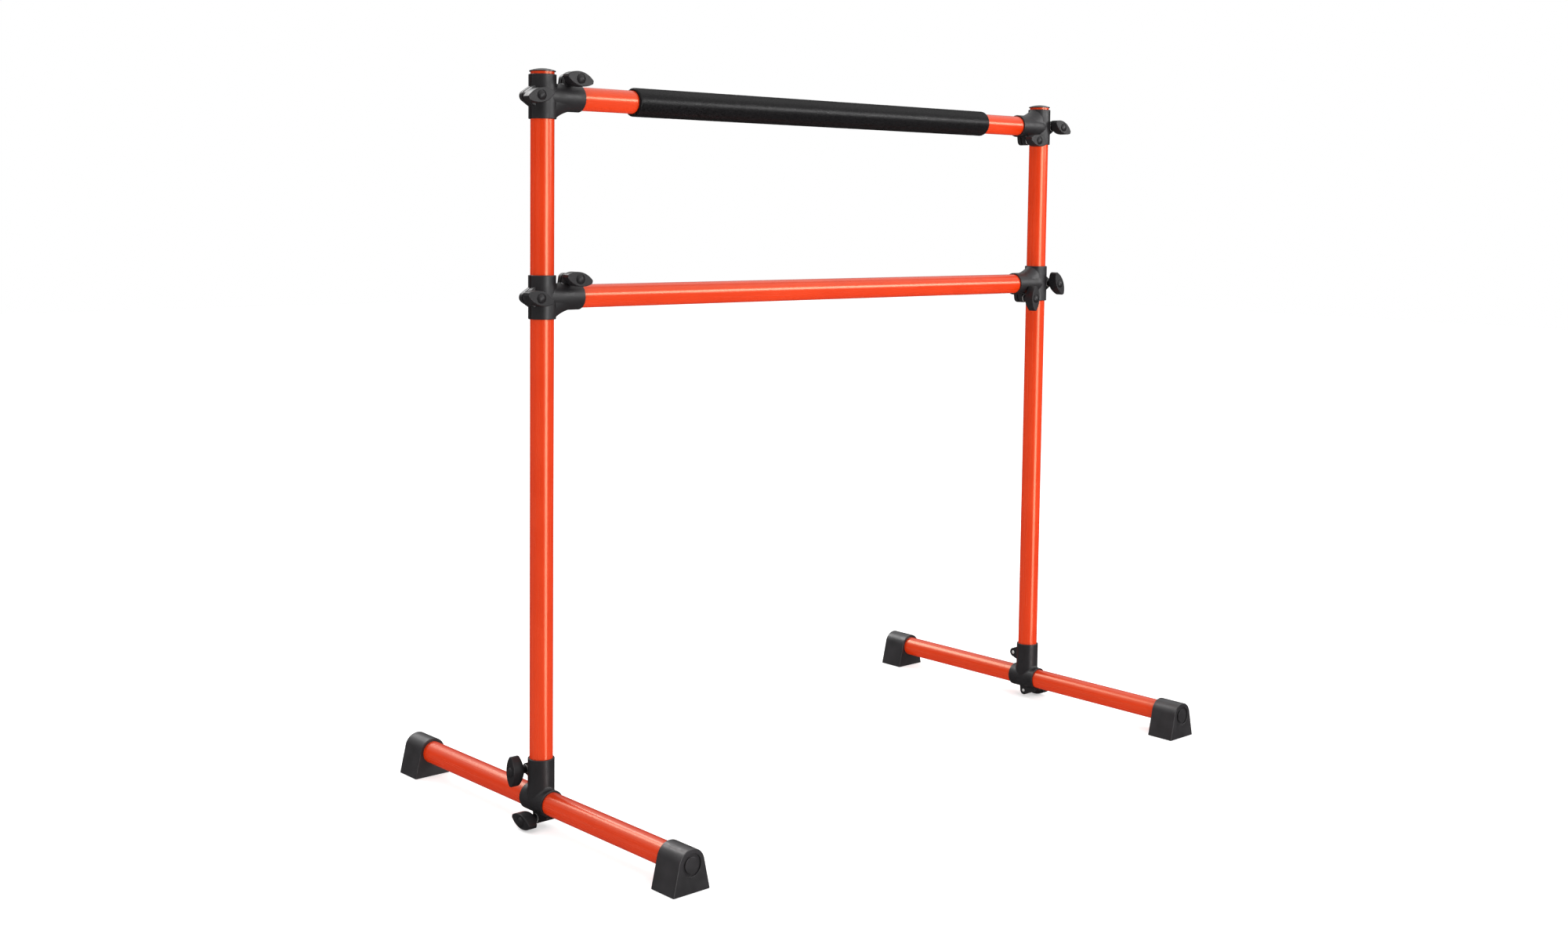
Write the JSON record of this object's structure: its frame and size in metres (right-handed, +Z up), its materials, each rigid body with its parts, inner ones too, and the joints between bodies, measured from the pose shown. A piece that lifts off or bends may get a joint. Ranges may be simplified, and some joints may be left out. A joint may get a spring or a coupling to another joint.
{
  "type": "ballet barre",
  "caption": "Free-standing barre: one padded bar above a plain one, on posts with sliding clamp connectors and swivelling rubber-footed bases.",
  "frame": {"origin": "on the floor, midway between the two posts", "axes": "+X along the bars from the left post to the right post, -Y to the front where the bar knobs are, +Z up"},
  "size_m": [1.3239, 0.772, 1.222],
  "materials": {
    "powder": "gloss orange-red powder coat",
    "nylon": "satin black moulded nylon",
    "cap": "smooth black plastic",
    "foam": "matte closed-cell foam",
    "rubber": "matte dark grey rubber",
    "steel": "zinc-plated steel"
  },
  "bodies": {
    "uprights": {"left_post": "powder", "right_post": "powder", "left_post_cap": "cap", "right_post_cap": "cap"},
    "upper_rail": {"upper_bar": "powder", "foam_grip": "foam", "upper_left_connector": "nylon", "upper_left_washers": "steel", "upper_left_inserts": "steel", "upper_right_connector": "nylon", "upper_right_washers": "steel", "upper_right_inserts": "steel"},
    "lower_rail": {"lower_bar": "powder", "lower_left_connector": "nylon", "lower_left_washers": "steel", "lower_left_inserts": "steel", "lower_right_connector": "nylon", "lower_right_washers": "steel", "lower_right_inserts": "steel"},
    "left_foot_assembly": {"left_base_connector": "nylon", "left_base_washers": "steel", "left_base_inserts": "steel", "left_base_tube": "powder", "left_front_foot": "rubber", "left_back_foot": "rubber"},
    "right_foot_assembly": {"right_base_connector": "nylon", "right_base_washers": "steel", "right_base_inserts": "steel", "right_base_tube": "powder", "right_front_foot": "rubber", "right_back_foot": "rubber"},
    "upper_left_post_knob": {"upper_left_post_knob": "nylon", "upper_left_post_stud": "steel"},
    "upper_left_bar_knob": {"upper_left_bar_knob": "nylon", "upper_left_bar_stud": "steel"},
    "upper_right_post_knob": {"upper_right_post_knob": "nylon", "upper_right_post_stud": "steel"},
    "upper_right_bar_knob": {"upper_right_bar_knob": "nylon", "upper_right_bar_stud": "steel"},
    "lower_left_post_knob": {"lower_left_post_knob": "nylon", "lower_left_post_stud": "steel"},
    "lower_left_bar_knob": {"lower_left_bar_knob": "nylon", "lower_left_bar_stud": "steel"},
    "lower_right_post_knob": {"lower_right_post_knob": "nylon", "lower_right_post_stud": "steel"},
    "lower_right_bar_knob": {"lower_right_bar_knob": "nylon", "lower_right_bar_stud": "steel"},
    "left_base_post_knob": {"left_base_post_knob": "nylon", "left_base_post_stud": "steel"},
    "left_base_tube_knob": {"left_base_tube_knob": "nylon", "left_base_tube_stud": "steel"},
    "right_base_post_knob": {"right_base_post_knob": "nylon", "right_base_post_stud": "steel"},
    "right_base_tube_knob": {"right_base_tube_knob": "nylon", "right_base_tube_stud": "steel"}
  },
  "joints": [
    {"name": "upper_rail_height", "type": "slide", "parent": "uprights", "child": "upper_rail", "axis": [0, 0, 1], "range_m": [-0.11, 0.0035]},
    {"name": "lower_rail_height", "type": "slide", "parent": "uprights", "child": "lower_rail", "axis": [0, 0, 1], "range_m": [-0.69, 0.11]},
    {"name": "left_foot_swivel", "type": "hinge", "parent": "uprights", "child": "left_foot_assembly", "pos_m": [-0.609, 0, 0.089], "axis": [0, 0, 1], "range_deg": [-90, 90]},
    {"name": "right_foot_swivel", "type": "hinge", "parent": "uprights", "child": "right_foot_assembly", "pos_m": [0.609, 0, 0.089], "axis": [0, 0, 1], "range_deg": [-90, 90]},
    {"name": "upper_left_post_knob_turn", "type": "hinge", "parent": "upper_rail", "child": "upper_left_post_knob", "pos_m": [-0.638, -0.026, 1.1774], "axis": [0, -1, 0], "range_deg": [0, 720]},
    {"name": "upper_left_bar_knob_turn", "type": "hinge", "parent": "upper_rail", "child": "upper_left_bar_knob", "pos_m": [-0.563, -0.026, 1.2064], "axis": [0, -1, 0], "range_deg": [0, 720]},
    {"name": "upper_right_post_knob_turn", "type": "hinge", "parent": "upper_rail", "child": "upper_right_post_knob", "pos_m": [0.638, -0.026, 1.1774], "axis": [0, -1, 0], "range_deg": [0, 720]},
    {"name": "upper_right_bar_knob_turn", "type": "hinge", "parent": "upper_rail", "child": "upper_right_bar_knob", "pos_m": [0.563, -0.026, 1.1484], "axis": [0, -1, 0], "range_deg": [0, 720]},
    {"name": "lower_left_post_knob_turn", "type": "hinge", "parent": "lower_rail", "child": "lower_left_post_knob", "pos_m": [-0.638, -0.026, 0.8606], "axis": [0, -1, 0], "range_deg": [0, 720]},
    {"name": "lower_left_bar_knob_turn", "type": "hinge", "parent": "lower_rail", "child": "lower_left_bar_knob", "pos_m": [-0.563, -0.026, 0.8896], "axis": [0, -1, 0], "range_deg": [0, 720]},
    {"name": "lower_right_post_knob_turn", "type": "hinge", "parent": "lower_rail", "child": "lower_right_post_knob", "pos_m": [0.638, -0.026, 0.8606], "axis": [0, -1, 0], "range_deg": [0, 720]},
    {"name": "lower_right_bar_knob_turn", "type": "hinge", "parent": "lower_rail", "child": "lower_right_bar_knob", "pos_m": [0.563, -0.026, 0.8316], "axis": [0, -1, 0], "range_deg": [0, 720]},
    {"name": "left_base_post_knob_turn", "type": "hinge", "parent": "left_foot_assembly", "child": "left_base_post_knob", "pos_m": [-0.635, 0.0295, 0.089], "axis": [-1, 0, 0], "range_deg": [0, 720]},
    {"name": "left_base_tube_knob_turn", "type": "hinge", "parent": "left_foot_assembly", "child": "left_base_tube_knob", "pos_m": [-0.635, 0, 0.0145], "axis": [-1, 0, 0], "range_deg": [0, 720]},
    {"name": "right_base_post_knob_turn", "type": "hinge", "parent": "right_foot_assembly", "child": "right_base_post_knob", "pos_m": [0.635, 0.0295, 0.089], "axis": [1, 0, 0], "range_deg": [0, 720]},
    {"name": "right_base_tube_knob_turn", "type": "hinge", "parent": "right_foot_assembly", "child": "right_base_tube_knob", "pos_m": [0.635, 0, 0.0145], "axis": [1, 0, 0], "range_deg": [0, 720]}
  ]
}
